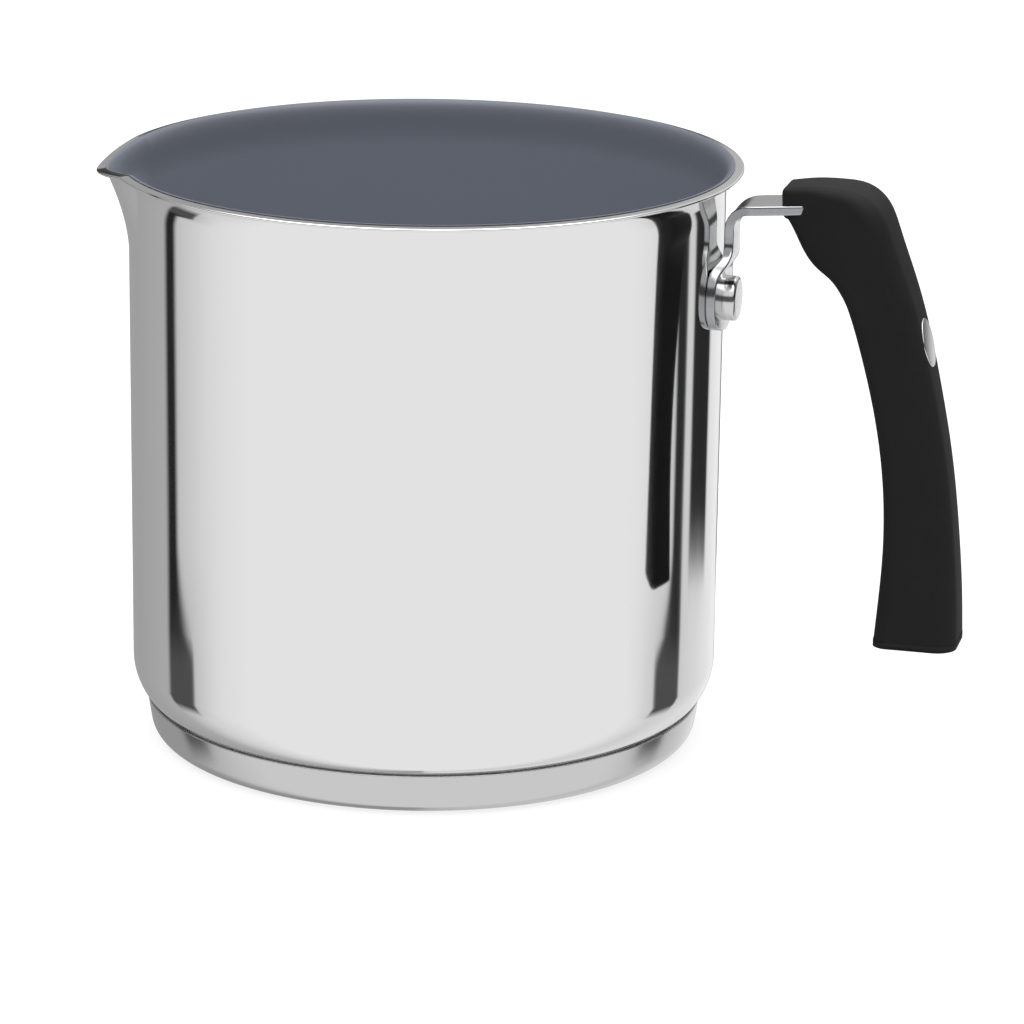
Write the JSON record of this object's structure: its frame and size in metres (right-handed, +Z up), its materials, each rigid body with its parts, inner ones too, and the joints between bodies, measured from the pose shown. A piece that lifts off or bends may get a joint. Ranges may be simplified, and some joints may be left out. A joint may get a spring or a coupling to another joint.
{
  "type": "milk pan",
  "caption": "Deep polished steel milk pan with a flared lip, pinched pouring spout, coated inside, bonded base and a curved black side grip that hangs from a riveted strap.",
  "frame": {"origin": "centre of the base's underside, on the table", "axes": "+Z up along the pan's axis, +X towards the grip"},
  "size_m": [0.2075, 0.1494, 0.1414],
  "materials": {
    "polished_steel": "mirror polished",
    "nonstick": "satin coating",
    "base_steel": "satin turned",
    "core_aluminium": "plain",
    "strap_steel": "polished",
    "rivet_steel": "polished",
    "black_phenolic": "moulded satin",
    "inlay_metal": "polished, bare",
    "screw_steel": "plain"
  },
  "bodies": {
    "root": {"pan_body": "polished_steel", "nonstick_coating": "nonstick", "base_cap": "base_steel", "base_core": "core_aluminium", "handle_bracket": "strap_steel", "bracket_rivet": "rivet_steel", "handle_grip": "black_phenolic", "handle_medallion": "inlay_metal", "grip_screw": "screw_steel"}
  },
  "joints": []
}
